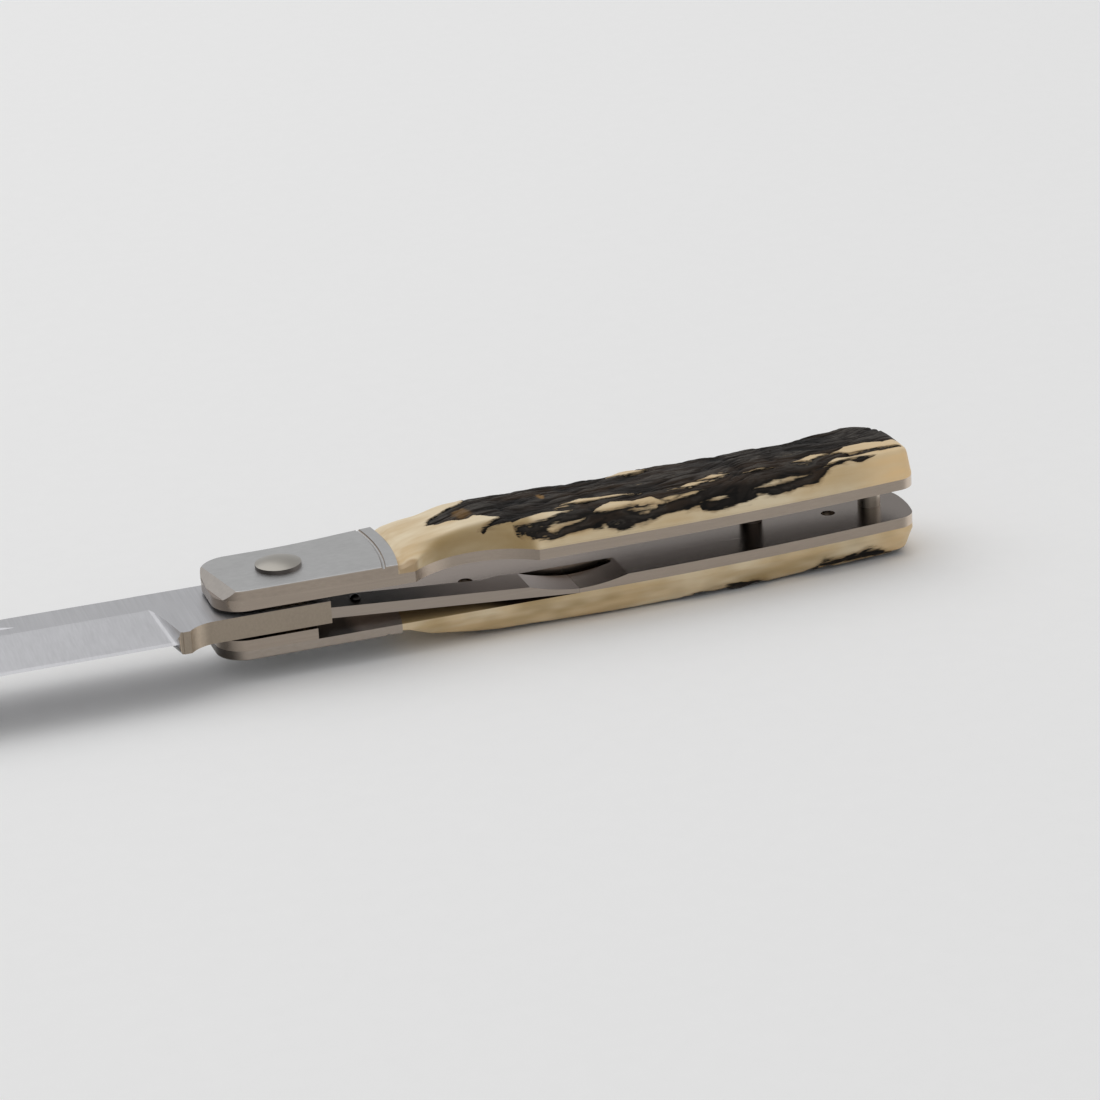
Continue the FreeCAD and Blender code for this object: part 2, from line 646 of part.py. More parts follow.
def slant(distance):
    """How far a cross-section leans to the tip for each unit of height: full at the plunge, then fading."""
    plunge_end = PLUNGE_REACH + PLUNGE_SWEEP
    past = max(0.0, distance - plunge_end) / (SPINE_DROP_START - plunge_end)
    return PLUNGE_SLANT * max(0.0, 1 - past)


def blade():
    """The blade: flat tang and ricasso, then the ground part from the plunge to the tip."""
    plunge = blade_stretch(PLUNGE_REACH, PLUNGE_REACH + PLUNGE_SWEEP, PLUNGE_STATIONS, True)
    ground = blade_stretch(PLUNGE_REACH + PLUNGE_SWEEP, BLADE_REACH, BLADE_STATIONS, False)
    nick_radius = (NICK_LENGTH ** 2 / 4 + NICK_DEPTH ** 2) / (2 * NICK_DEPTH)
    nick_low = BLADE_SPINE - NICK_BELOW_SPINE - NICK_WIDTH
    nick_axis = Vector(-NICK_DISTANCE, nick_low, TANG_HALF - NICK_DEPTH + nick_radius)
    nick = Part.makeCone(nick_radius, nick_radius - NICK_DEPTH, NICK_WIDTH, nick_axis, Vector(0, 1, 0))
    ball = ball_centre()
    dimple_radius = BALL_DIAMETER / 2 + DIMPLE_PLAY
    cuts = [
        nick,
        rod((0, 0), -BEYOND, BEYOND, BARREL_DIAMETER + 2 * BARREL_PLAY),
        rod((STOP_X, STOP_Y), -BEYOND, BEYOND, STOP_DIAMETER),
        rod((-PLUNGE_REACH, -EDGE_REACH), -BEYOND, BEYOND, 2 * CHOIL_RADIUS),
        Part.makeSphere(dimple_radius, Vector(-ball.x, -ball.y, ball.z)),
    ]
    return tang().fuse([plunge, ground]).cut(cuts)


def blade_stretch(start, end, stations, ruled):
    """A stretch of the ground blade between two distances from the pivot, through even stations."""
    step = (end - start) / (stations - 1)
    sections = [blade_section(start + step * index) for index in range(stations)]
    return Part.makeLoft(sections, True, ruled)


def tang():
    """Tang and ricasso: round about the pivot, notched for the lock bar, with a kick before the plunge."""
    low = -TANG_HALF
    kick_front = PLUNGE_REACH - KICK_WIDTH
    kick_foot = kick_front - KICK_SWEEP
    sweep_rise = KICK_REACH - TANG_NEAR
    sweep_radius = arc_sag(KICK_SWEEP, sweep_rise)
    half_turn = math.asin(KICK_SWEEP / sweep_radius) / 2
    sweep_middle = Vector(
        -kick_foot - sweep_radius * math.sin(half_turn),
        -TANG_NEAR - sweep_radius * (1 - math.cos(half_turn)),
        low,
    )
    foot = Vector(-kick_foot, -TANG_NEAR, low)
    kick = Vector(-kick_front, -KICK_REACH, low)
    heel = Vector(-PLUNGE_REACH - PLUNGE_SLANT * (EDGE_REACH - KICK_REACH), -KICK_REACH, low)
    back = Vector(-PLUNGE_REACH - PLUNGE_SLANT * (EDGE_REACH + BLADE_SPINE), BLADE_SPINE, low)
    spine_end = Vector(0, BLADE_SPINE, low)
    near_end = Vector(TANG_RADIUS, -TANG_NEAR, low)
    round_end = Vector(TANG_RADIUS, 0, low)
    diagonal = TANG_RADIUS / math.sqrt(2)
    edges = [
        Part.LineSegment(near_end, foot).toShape(),
        Part.Arc(foot, sweep_middle, kick).toShape(),
        Part.LineSegment(kick, heel).toShape(),
        Part.LineSegment(heel, back).toShape(),
        Part.LineSegment(back, spine_end).toShape(),
        Part.Arc(spine_end, Vector(diagonal, diagonal, low), round_end).toShape(),
        Part.LineSegment(round_end, near_end).toShape(),
    ]
    plate = Part.Face(Part.Wire(edges)).extrude(Vector(0, 0, BLADE_THICKNESS))
    notch_points = [
        Vector(LOCK_FACE, -TANG_NEAR - BEYOND, low),
        Vector(LOCK_FACE, LOCK_FACE_HEIGHT, low),
        Vector(LOCK_FACE + TANG_RADIUS, LOCK_FACE_HEIGHT + LOCK_FACE_SLOPE * TANG_RADIUS, low),
        Vector(LOCK_FACE + TANG_RADIUS, -TANG_NEAR - BEYOND, low),
    ]
    outline = Part.makePolygon(notch_points + notch_points[:1])
    notch = Part.Face(outline).extrude(Vector(0, 0, BLADE_THICKNESS))
    return plate.cut(notch)


def all_nodes():
    """Every piece by name, in the drawing position with the pivot at the origin."""
    front_blank = scale_blank(FRONT_SCALE_HEIGHT, FRONT_SCALE_CROWN, FRONT_SCALE_RAMP, FRONT_FLANK_LEAN)
    back_blank = scale_blank(BACK_SCALE_HEIGHT, BACK_SCALE_CROWN, BACK_SCALE_RAMP, BACK_FLANK_LEAN)
    nodes = {
        "blade": blade(),
        "stop_pin": stop_pin(),
        "lock_bar": lock_bar(),
        "detent_ball": detent_ball(),
        "front_liner": front_liner(),
        "back_liner": back_liner(),
        "front_bolster": bolster(BARREL_DIAMETER).cut(front_bevel()),
        "back_bolster": to_back(bolster(PIVOT_SCREW_HEAD + 2 * SCREW_HEAD_PLAY)),
        "front_bolster_pins": bolster_pins(),
        "back_bolster_pins": to_back(bolster_pins()),
        "front_scale": drilled_scale(front_blank).cut(thumb_relief()),
        "back_scale": to_back(drilled_scale(back_blank)),
        "front_scale_screws": scale_screws(),
        "back_scale_screws": to_back(scale_screws()),
        "front_standoff_screws": standoff_screws(),
        "back_standoff_screws": to_back(standoff_screws()),
        "pivot_barrel": pivot_barrel(),
        "pivot_screw": pivot_screw(),
        "front_washer": washer(),
        "back_washer": to_back(washer()),
    }
    for name, place in STANDOFFS.items():
        nodes[name] = standoff(place)
    return nodes


def middle_of_base(shapes):
    """The point under the middle of the open knife, at the level of its lowest point."""
    points, _ = Part.makeCompound(shapes).tessellate(BOX_ACCURACY)
    x_values = [point.x for point in points]
    y_values = [point.y for point in points]
    lowest = min(point.z for point in points)
    return Vector((min(x_values) + max(x_values)) / 2, (min(y_values) + max(y_values)) / 2, lowest)


nodes = all_nodes()
move = -middle_of_base(list(nodes.values()))
os.makedirs("parts", exist_ok=True)
for name, shape in nodes.items():
    shape.translate(move)
    shape.exportStep(f"parts/{name}.step")
print(f"pivot at {move.x:.4f}, {move.y:.4f}, {move.z:.4f} mm")
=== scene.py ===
import json
import math

import bpy
import numpy as np
from mathutils import Matrix, Vector


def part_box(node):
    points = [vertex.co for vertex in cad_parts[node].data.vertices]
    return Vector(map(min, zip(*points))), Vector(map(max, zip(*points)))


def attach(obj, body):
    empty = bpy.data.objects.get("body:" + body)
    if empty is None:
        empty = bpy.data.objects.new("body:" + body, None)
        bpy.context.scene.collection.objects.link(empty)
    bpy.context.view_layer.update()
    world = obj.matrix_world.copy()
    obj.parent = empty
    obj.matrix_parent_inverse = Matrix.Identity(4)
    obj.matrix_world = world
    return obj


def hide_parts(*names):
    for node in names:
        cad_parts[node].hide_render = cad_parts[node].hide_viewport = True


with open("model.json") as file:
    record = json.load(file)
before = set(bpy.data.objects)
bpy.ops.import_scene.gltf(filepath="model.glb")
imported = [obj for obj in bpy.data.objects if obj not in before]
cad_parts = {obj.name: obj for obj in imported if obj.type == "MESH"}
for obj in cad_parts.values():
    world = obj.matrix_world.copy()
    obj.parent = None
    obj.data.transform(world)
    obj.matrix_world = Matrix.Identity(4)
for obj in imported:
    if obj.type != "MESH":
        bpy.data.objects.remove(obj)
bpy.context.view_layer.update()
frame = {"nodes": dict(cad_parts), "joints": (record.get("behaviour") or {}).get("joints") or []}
pivot = Vector(frame["joints"][0]["pos_m"])

# The camera stands in front of the edge side and a little above, with the handle running up to the right.
# Its angles, distance and aim are those at which the knife lies in the frame as photographed.
VIEW_AZIMUTH = math.radians(-16.844)
VIEW_ELEVATION = math.radians(21.5)
VIEW_ROLL = math.radians(-3.492)
VIEW_DISTANCE = 0.522722
VIEW_LENS = 121.37
SENSOR = 36.0
IMAGE_SIDE = 1100.0
PIVOT_PIXEL = (278.3, 566.139)
PIVOT_FACE = 0.00525

level_right = Vector((math.cos(VIEW_AZIMUTH), math.sin(VIEW_AZIMUTH), 0.0))
back = Vector((
    math.sin(VIEW_AZIMUTH) * math.cos(VIEW_ELEVATION),
    -math.cos(VIEW_AZIMUTH) * math.cos(VIEW_ELEVATION),
    math.sin(VIEW_ELEVATION),
))
level_up = back.cross(level_right)
right = math.cos(VIEW_ROLL) * level_right + math.sin(VIEW_ROLL) * level_up
up = math.cos(VIEW_ROLL) * level_up - math.sin(VIEW_ROLL) * level_right
metres_per_pixel = VIEW_DISTANCE * SENSOR / VIEW_LENS / IMAGE_SIDE
across = (PIVOT_PIXEL[0] - IMAGE_SIDE / 2) * metres_per_pixel
above = (IMAGE_SIDE / 2 - PIVOT_PIXEL[1]) * metres_per_pixel
aim = pivot + Vector((0.0, 0.0, PIVOT_FACE))
place = aim - across * right - above * up + VIEW_DISTANCE * back

camera = bpy.data.objects.new("camera", bpy.data.cameras.new("camera"))
camera.data.lens = VIEW_LENS
camera.data.sensor_width = SENSOR
camera.data.clip_start = 0.01
camera.data.clip_end = 20.0
camera.matrix_world = Matrix((
    (right.x, up.x, back.x, place.x),
    (right.y, up.y, back.y, place.y),
    (right.z, up.z, back.z, place.z),
    (0.0, 0.0, 0.0, 1.0),
))
bpy.context.collection.objects.link(camera)
bpy.context.scene.camera = camera
bpy.context.scene.view_settings.view_transform = "Standard"


# The table is a wide sheet of plain pale paper, matt and faintly fibrous. Every finish below is put together
# with the shades defined here: one class whose sums and products become the nodes of a material.
class Shade:
    """One output of a node tree. Sums, differences and products with numbers or shades add Math nodes."""

    def __init__(self, socket):
        self.socket = socket
        self.tree = socket.id_data

    def node(self, kind, settings, sockets, output=0):
        """Adds a node of any kind: its settings first, then a number, a colour or a shade for each socket."""
        made = self.tree.nodes.new(kind)
        for name, value in settings.items():
            setattr(made, name, value)
        for name, value in sockets.items():
            if isinstance(value, Shade):
                self.tree.links.new(value.socket, made.inputs[name])
            else:
                made.inputs[name].default_value = value
        return Shade(made.outputs[output])

    def math(self, operation, first, second):
        """One Math node on two numbers or shades."""
        return self.node("ShaderNodeMath", {"operation": operation}, {0: first, 1: second})

    def __add__(self, other):
        return self.math("ADD", self, other)

    def __radd__(self, other):
        return self.math("ADD", other, self)

    def __sub__(self, other):
        return self.math("SUBTRACT", self, other)

    def __rsub__(self, other):
        return self.math("SUBTRACT", other, self)

    def __mul__(self, other):
        return self.math("MULTIPLY", self, other)

    def __rmul__(self, other):
        return self.math("MULTIPLY", other, self)

    def __abs__(self):
        return self.math("ABSOLUTE", self, 0.0)

    def part(self, axis):
        """One coordinate of this place or direction."""
        return self.node("ShaderNodeSeparateXYZ", {}, {0: self}, axis)

    def rise(self, low, high):
        """0 up to low, 1 from high, and an S-curve between."""
        settings = {"interpolation_type": "SMOOTHSTEP"}
        return self.node("ShaderNodeMapRange", settings, {"Value": self, "From Min": low, "From Max": high})

    def mix(self, colour, other):
        """The first colour where this shade is 0 and the other where it is 1."""
        return self.node("ShaderNodeMix", {"data_type": "RGBA"}, {0: self, 6: colour, 7: other}, 2)

    def dimmed(self, share):
        """This colour times a number that may vary."""
        return self.node("ShaderNodeVectorMath", {"operation": "SCALE"}, {0: self, "Scale": share})

    def noise(self, steps, detail=3.0):
        """Noise from 0 to 1 over this place, with so many steps to the metre along each axis."""
        stretched = self.node("ShaderNodeVectorMath", {"operation": "MULTIPLY"}, {0: self, 1: steps})
        return self.node("ShaderNodeTexNoise", {}, {"Vector": stretched, "Scale": 1.0, "Detail": detail})

    def feed(self, shader, name):
        """Links this shade to a socket of a shader."""
        self.tree.links.new(self.socket, shader.inputs[name])


def new_finish(name):
    """A material with one Principled shader, and shades of a point's place and direction on its object."""
    material = bpy.data.materials.new(name)
    material.use_nodes = True
    shader = material.node_tree.nodes["Principled BSDF"]
    source = material.node_tree.nodes.new("ShaderNodeTexCoord")
    return material, shader, Shade(source.outputs["Object"]), Shade(source.outputs["Normal"])


PAPER_SIDE = 4.0
PAPER_PALE = (0.91, 0.91, 0.91, 1.0)
PAPER_SHADE = (0.89, 0.89, 0.89, 1.0)
PAPER_FIBRES = (300.0, 300.0, 300.0)
PAPER_ROUGHNESS = 0.9
PAPER_SHEEN = 0.1

paper, paper_shader, paper_place, _ = new_finish("paper")
paper_place.noise(PAPER_FIBRES).mix(PAPER_SHADE, PAPER_PALE).feed(paper_shader, "Base Color")
paper_shader.inputs["Roughness"].default_value = PAPER_ROUGHNESS
paper_shader.inputs["Specular IOR Level"].default_value = PAPER_SHEEN
half_side = PAPER_SIDE / 2
table_mesh = bpy.data.meshes.new("table")
corners = [(-half_side, -half_side), (half_side, -half_side), (half_side, half_side), (-half_side, half_side)]
table_mesh.from_pydata([(across, along, 0.0) for across, along in corners], [], [(0, 1, 2, 3)])
table_mesh.materials.append(paper)
table = bpy.data.objects.new("table", table_mesh)
bpy.context.collection.objects.link(table)

# The studio is an even grey tent with one large soft lamp overhead, a little behind and to the left.
# Looked at directly or in the steel, the tent has the paper's tone, so that no horizon shows.
TENT_TONE = (0.55, 0.55, 0.55, 1.0)
BACKDROP_TONE = (0.79, 0.79, 0.79, 1.0)
LAMP_SIDE = 2.2
LAMP_PLACE = Vector((-0.5, 0.6, 1.6))
LAMP_WATTS = 15.4

world = bpy.data.worlds.new("studio")
world.use_nodes = True
tent = world.node_tree.nodes["Background"]
light_path = world.node_tree.nodes.new("ShaderNodeLightPath")
seen = Shade(light_path.outputs["Is Camera Ray"])
for ray in ("Is Glossy Ray", "Is Transmission Ray"):
    seen = seen.math("MAXIMUM", seen, Shade(light_path.outputs[ray]))
seen.mix(TENT_TONE, BACKDROP_TONE).feed(tent, "Color")
bpy.context.scene.world = world
lamp = bpy.data.objects.new("lamp", bpy.data.lights.new("lamp", "AREA"))
lamp.data.size = LAMP_SIDE
lamp.data.energy = LAMP_WATTS
lamp.location = LAMP_PLACE
lamp.rotation_euler = (-LAMP_PLACE).to_track_quat("-Z", "Y").to_euler()
bpy.context.collection.objects.link(lamp)


# The blade is one bar of stainless steel, ground from the spine to the edge and finished with a fine belt
# across it. Its ricasso, kick and tang keep the bar's flat sides; a stop pin is pressed into the tang.
FRONT_SHADE = 0.45
FLAT_FROM = 0.45
FLAT_SPAN = 0.5
STEEL_CLOUDS = (140.0, 140.0, 140.0)
SCRATCH_GLOSS = 0.12
SCRATCH_DEPTH = 0.00003


def steel(
    name, face, edge, roughness, grain, contrast,
    upper_face=None, front_shade=FRONT_SHADE, painted_fade=None, flat_from=FLAT_FROM,
):
    """Steel that is one tint on its broad faces, or another on those that look up, and a third on its edges,
    which are the faces that tilt past flat_from; that edge tint is a painted reflection of the surroundings.
    Upright edges are painted darker by front_shade where they face the front end, a painted shade, and
    brighter where they face the butt, a painted light. Given a reach and a share, faces that look up go
    from that share of their tint at the reach's start to all of it at its end: painted light where the share
    is above 1 and painted shade where it is below. Scratches of a belt, grain steps to the metre along each
    axis, vary the brightness, the gloss and the relief, and clouds vary the tone."""
    material, shader, place, direction = new_finish(name)
    level = abs(direction.part("Z"))
    broad = level.rise(flat_from, FLAT_SPAN + flat_from)
    upright = 1.0 - level.rise(0.1, 0.6)
    facing_front = (0.0 - direction.part("X")).rise(0.15, 0.7)
    facing_butt = direction.part("X").rise(0.15, 0.6)
    scratch = place.noise(grain, 4.0)
    cloud = place.noise(STEEL_CLOUDS)
    end_light_and_shade = 1.0 + upright * (facing_butt - front_shade * facing_front)
    tone = (1.0 - contrast) + contrast * (1.5 * scratch + 0.5 * cloud)
    looking_up = direction.part("Z").rise(-0.5, 0.5)
    face_tint = looking_up.mix(face, upper_face or face)
    if painted_fade:
        start, end, share = painted_fade
        before = 1.0 - place.part("X").rise(start, end)
        face_tint = face_tint.dimmed(1.0 - (1.0 - share) * looking_up * before)
    broad.mix(edge, face_tint).dimmed(end_light_and_shade * tone).feed(shader, "Base Color")
    (roughness - SCRATCH_GLOSS / 2 + SCRATCH_GLOSS * scratch).feed(shader, "Roughness")
    relief = scratch.node(
        "ShaderNodeBump", {}, {"Strength": contrast, "Distance": SCRATCH_DEPTH, "Height": scratch}, "Normal"
    )
    relief.feed(shader, "Normal")
    shader.inputs["Metallic"].default_value = 1.0
    return material


def finish_nodes(material, *names):
    """Puts a material on CAD nodes."""
    for name in names:
        for slot in frame["nodes"][name].material_slots:
            slot.material = material


ACROSS_BELT = (3500.0, 90.0, 2500.0)
BLADE_FACE = (0.40, 0.40, 0.415, 1.0)
BLADE_EDGE = (0.31, 0.26, 0.205, 1.0)
FLAT_BLADE = 0.1
blade_steel = steel(
    "blade_steel", BLADE_FACE, BLADE_EDGE, 0.40, ACROSS_BELT, 0.2, front_shade=0.1, flat_from=FLAT_BLADE
)
finish_nodes(blade_steel, "blade", "stop_pin")

# The liners are flat plates of spring steel, ground lengthwise and glossy, so that they mirror the posts.
# Their broad faces are painted dark, a painted shade between the liners, and the faces that look up are
# painted lighter towards the front, a painted light.
# The posts, the scales and the bolsters are all fixed to them.
ALONG_BELT = (60.0, 6000.0, 6000.0)
LINER_FACE_SHADE = (0.144, 0.119, 0.103, 1.0)
LINER_EDGE = (0.345, 0.29, 0.24, 1.0)
LINER_PAINTED_LIGHT = (pivot.x + 0.041, pivot.x + 0.054, 1.7)
FLAT_LINER = 0.49
liner_steel = steel(
    "liner_steel", LINER_FACE_SHADE, LINER_EDGE, 0.24, ALONG_BELT, 0.2,
    front_shade=0.2, painted_fade=LINER_PAINTED_LIGHT, flat_from=FLAT_LINER,
)
finish_nodes(liner_steel, "front_liner", "back_liner")

# The lock bar is the near half of the back liner, cut free by a bent slot and sprung in behind the tang.
# It bends at its scoop, and its top is painted darker towards the tang, a painted shade; a hard ball is
# pressed in near its tip and painted nearly black, a painted shade.
LOCK_FACE = (0.27, 0.22, 0.195, 1.0)
LOCK_EDGE = (0.33, 0.283, 0.242, 1.0)
LOCK_PAINTED_SHADE = (pivot.x + 0.012, pivot.x + 0.031, 0.02)
BALL_PAINTED_SHADE = (0.03, 0.028, 0.026, 1.0)
lock_steel = steel(
    "lock_steel", LOCK_FACE, LOCK_EDGE, 0.30, ALONG_BELT, 0.15, painted_fade=LOCK_PAINTED_SHADE, flat_from=FLAT_LINER
)
finish_nodes(lock_steel, "lock_bar")
finish_nodes(steel("shaded_ball_steel", BALL_PAINTED_SHADE, BALL_PAINTED_SHADE, 0.4, ALONG_BELT, 0.2), "detent_ball")

# The bolsters are steel plates, the front one with a bowed groove, riveted on with hidden pins and
# satin-finished in place. The inside of the back one takes another tint, and where it shows through the
# lock bar's window it is painted dark, a painted shade.
BOLSTER_FACE = (0.365, 0.365, 0.365, 1.0)
BOLSTER_EDGE = (0.345, 0.29, 0.24, 1.0)
BACK_BOLSTER_EDGE = (0.36, 0.31, 0.265, 1.0)
BOLSTER_INSIDE = (0.36, 0.305, 0.272, 1.0)
WINDOW_PAINTED_SHADE = (pivot.x + 0.0078, pivot.x + 0.0104, 0.12)
SATIN = (900.0, 2600.0, 2600.0)
front_satin = steel("bolster_steel", BOLSTER_FACE, BOLSTER_EDGE, 0.42, SATIN, 0.2)
finish_nodes(front_satin, "front_bolster", "front_bolster_pins", "back_bolster_pins")
back_satin = steel(
    "back_bolster_steel", BOLSTER_FACE, BACK_BOLSTER_EDGE, 0.42, SATIN, 0.2,
    upper_face=BOLSTER_INSIDE, front_shade=0.75, painted_fade=WINDOW_PAINTED_SHADE,
)
finish_nodes(back_satin, "back_bolster")

# The pivot is a barrel with a plain domed head, turned and polished, and a screw goes into it from the
# back; their upright faces, such as the head's rim, are painted dark, a painted shade. Two posts hold the
# liners apart, the middle one painted dark as painted shade and the rear one light as painted light, and
# small screws hold the posts and the scales.
TURNED_FACE = (0.28, 0.265, 0.24, 1.0)
TURNED_EDGE_SHADE = (0.15, 0.135, 0.125, 1.0)
MIDDLE_POST_SHADE = (0.15, 0.125, 0.11, 1.0)
REAR_POST_LIGHT = (0.46, 0.41, 0.35, 1.0)
TURNING = (400.0, 4000.0, 400.0)
turned_steel = steel("turned_steel", TURNED_FACE, TURNED_EDGE_SHADE, 0.36, TURNING, 0.12)
finish_nodes(turned_steel, "pivot_barrel", "pivot_screw")
finish_nodes(steel("shaded_post_steel", MIDDLE_POST_SHADE, MIDDLE_POST_SHADE, 0.3, TURNING, 0.12), "middle_standoff")
finish_nodes(steel("lit_post_steel", REAR_POST_LIGHT, REAR_POST_LIGHT, 0.3, TURNING, 0.12), "rear_standoff")
SCREW_FACE = (0.32, 0.305, 0.29, 1.0)
SCREW_EDGE = (0.24, 0.225, 0.21, 1.0)
screw_steel = steel("screw_steel", SCREW_FACE, SCREW_EDGE, 0.35, TURNING, 0.12)
finish_nodes(
    screw_steel, "front_scale_screws", "back_scale_screws", "front_standoff_screws", "back_standoff_screws"
)

# The washers beside the tang are punched from bronze sheet, a little smaller than the tang's round end.
# They run dry between the tang and the liners.
BRONZE_FACE = (0.50, 0.34, 0.18, 1.0)
BRONZE_EDGE = (0.44, 0.29, 0.15, 1.0)
washer_bronze = steel("washer_bronze", BRONZE_FACE, BRONZE_EDGE, 0.4, TURNING, 0.15)
finish_nodes(washer_bronze, "front_washer", "back_washer")

# The scales are slabs of stag antler: bone inside, dark corded bark outside. They are level with the bolsters
# in front and swell behind. Their flanks are sanded to cream bone, and so are some tops of the bark's cords.
MM = 0.001
ALONG_POINTS = 460
ACROSS_POINTS = 180
BUTT_CROWDING = 1.35
EDGE_CROWDING = 0.4
WALL_ROWS = 8
SHARP_ANGLE = math.radians(50.0)
FOOT_TOLERANCE = 0.003
SCREW_MARGIN = 0.5
JOINT_REACH = 16.5
JOINT_BOW_RADIUS = 43.0
JOINT_BOW_APEX = 2.0
JOINT_FADE = 1.4
END_TRIM = 0.02
RIM_AT_JOINT = 1.3
RIM_RUN = 6.0
BARK_SINK = 0.08
BARK_BORDER = (-0.2, 0.06)
CREASE_SINK = 0.14
CREASE_NEAR = (-0.5, -0.15)
CREASE_FAR = (-0.12, 0.04)
WALL_BARK = -0.1
WALL_BONE = 1.5
LATTICE_SIDE = 64
LATTICE_MIDDLE = (8.0, 32.0)
CORD_HEIGHT = 0.55
CORD_LEVEL = 0.72
CORD_TILT = 0.12
CORD_WANDER = 1.3
CORD_WANDER_CELL = (8.0, 3.5)
CORD_GAIN = 1.7
CORD_LAYERS = [(6.0, 1.5, 0.5), (3.2, 0.7, 0.3), (1.7, 0.35, 0.2)]
TONGUES = (0.22, 4.0, 0.6)
TEETH = (0.12, 1.3, 0.28)
PATCH_TIP = 1.6
PATCH_TRIM = 0.08
LINER_OUT = (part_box("front_liner")[1].z - pivot.z) / MM
BUTT = (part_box("back_liner")[1].x - pivot.x) / MM


def rise(value, low, high):
    """0 up to low, 1 from high, and an S-curve between."""
    share = np.clip((value - low) / (high - low), 0.0, 1.0)
    return share * share * (3.0 - 2.0 * share)


def field(x, y, length, width, seed):
    """Smooth random field from -1 to 1: seeded numbers on a lattice of cells of that length and width,
    blended between the four corners of a cell by S-curves."""
    lattice = np.random.default_rng(seed).uniform(-1.0, 1.0, (LATTICE_SIDE, LATTICE_SIDE))
    column, row = x / length + LATTICE_MIDDLE[0], y / width + LATTICE_MIDDLE[1]
    left, low = np.floor(column).astype(int), np.floor(row).astype(int)
    over, above = rise(column - left, 0.0, 1.0), rise(row - low, 0.0, 1.0)
    next_left, next_low = (left + 1) % LATTICE_SIDE, (low + 1) % LATTICE_SIDE
    left, low = left % LATTICE_SIDE, low % LATTICE_SIDE
    low_side = lattice[left, low] * (1 - over) + lattice[next_left, low] * over
    high_side = lattice[left, next_low] * (1 - over) + lattice[next_left, next_low] * over
    return low_side * (1 - above) + high_side * above


def patch(x, y, stations):
    """Millimetres inside a long patch, less than 0 outside: stations along it give its near and its far edge,
    and it runs out to a point past the first and the last of them, along the lean of the cords."""
    reach, near_edge, far_edge = np.array(stations).T
    first_tip = (near_edge[0] + far_edge[0]) / 2 - CORD_TILT * PATCH_TIP
    last_tip = (near_edge[-1] + far_edge[-1]) / 2 + CORD_TILT * PATCH_TIP
    reach = np.concatenate([[reach[0] - PATCH_TIP], reach, [reach[-1] + PATCH_TIP]])
    near_edge = np.concatenate([[first_tip], near_edge, [last_tip]])
    far_edge = np.concatenate([[first_tip], far_edge, [last_tip]])
    inside = np.minimum(y - np.interp(x, reach, near_edge), np.interp(x, reach, far_edge) - y)
    return inside - np.maximum(np.maximum(reach[0] - x, x - reach[-1]), 0.0)


def outline(node):
    """Near and far edge of a scale's flat foot, in millimetres from the pivot, as sorted points of the CAD
    scale. The edges part at the screws' sides, and behind the screws at the butt's hindmost point."""
    mesh = frame["nodes"][node].data
    points = np.empty(len(mesh.vertices) * 3)
    mesh.vertices.foreach_get("co", points)
    points = (points.reshape(-1, 3) - np.array(pivot)) / MM
    foot = points[np.abs(np.abs(points[:, 2]) - LINER_OUT) < FOOT_TOLERANCE]
    foot = foot[np.argsort(foot[:, 0], kind="stable")]
    screws_low, screws_high = (np.array(corner - pivot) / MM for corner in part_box(node + "_screws"))
    behind_joint = foot[:, 0] > JOINT_REACH
    behind_screws = foot[:, 0] > screws_high[0] + SCREW_MARGIN
    tip_side = foot[-1, 1]
    near_side = foot[behind_joint & (foot[:, 1] < np.where(behind_screws, tip_side, screws_low[1]))]
    far_side = foot[behind_joint & (foot[:, 1] > np.where(behind_screws, tip_side, screws_high[1]))]
    return np.vstack([near_side, foot[-1:]]), np.vstack([far_side, foot[-1:]])


plain_near, plain_far = outline("back_scale")


def slab_grid(node):
    """Grid of points over a scale's foot: stations from the bowed joint to the butt, closer together at the
    butt, and at each of them steps from the near edge to the far edge, closer together at both."""
    near_side, far_side = outline(node)
    share = np.linspace(0.0, 1.0, ALONG_POINTS)
    station = JOINT_REACH + (BUTT - END_TRIM - JOINT_REACH) * (1.0 - (1.0 - share) ** BUTT_CROWDING)
    step = np.linspace(0.0, 1.0, ACROSS_POINTS)
    step = (1.0 - EDGE_CROWDING) * step + EDGE_CROWDING * (0.5 - 0.5 * np.cos(math.pi * step))
    near = np.interp(station, near_side[:, 0], near_side[:, 1])[:, None]
    far = np.interp(station, far_side[:, 0], far_side[:, 1])[:, None]
    y = near + (far - near) * step[None, :]
    bow = JOINT_BOW_RADIUS - np.sqrt(JOINT_BOW_RADIUS ** 2 - (y - JOINT_BOW_APEX) ** 2)
    x = station[:, None] - bow * (1.0 - rise(station, JOINT_REACH, JOINT_REACH + JOINT_FADE))[:, None]
    return x, y


def inset(x, y):
    """Distances of a point from the near edge, the far edge and the butt of the whole slab, before any relief
    is cut, and its place across the slab from -1 at the near edge to 1 at the far edge."""
    near = np.interp(x, plain_near[:, 0], plain_near[:, 1])
    far = np.interp(x, plain_far[:, 0], plain_far[:, 1])
    near_lean = np.gradient(near[:, 0], x[:, 0])[:, None]
    far_lean = np.gradient(far[:, 0], x[:, 0])[:, None]
    from_near = (y - near) / np.sqrt(1.0 + near_lean ** 2)
    from_far = (far - y) / np.sqrt(1.0 + far_lean ** 2)
    return from_near, from_far, BUTT - x, (2.0 * y - near - far) / (far - near)


def soft_least(first, second, radius):
    """The lesser of two heights, rounded where they cross."""
    return -radius * np.log(np.exp(-first / radius) + np.exp(-second / radius))


def round_end(depth, radius, height):
    """Height of a quarter of an ellipse at a depth in from its foot."""
    return height * np.sqrt(1.0 - (1.0 - np.clip(depth / radius, 0.0, 1.0)) ** 2)


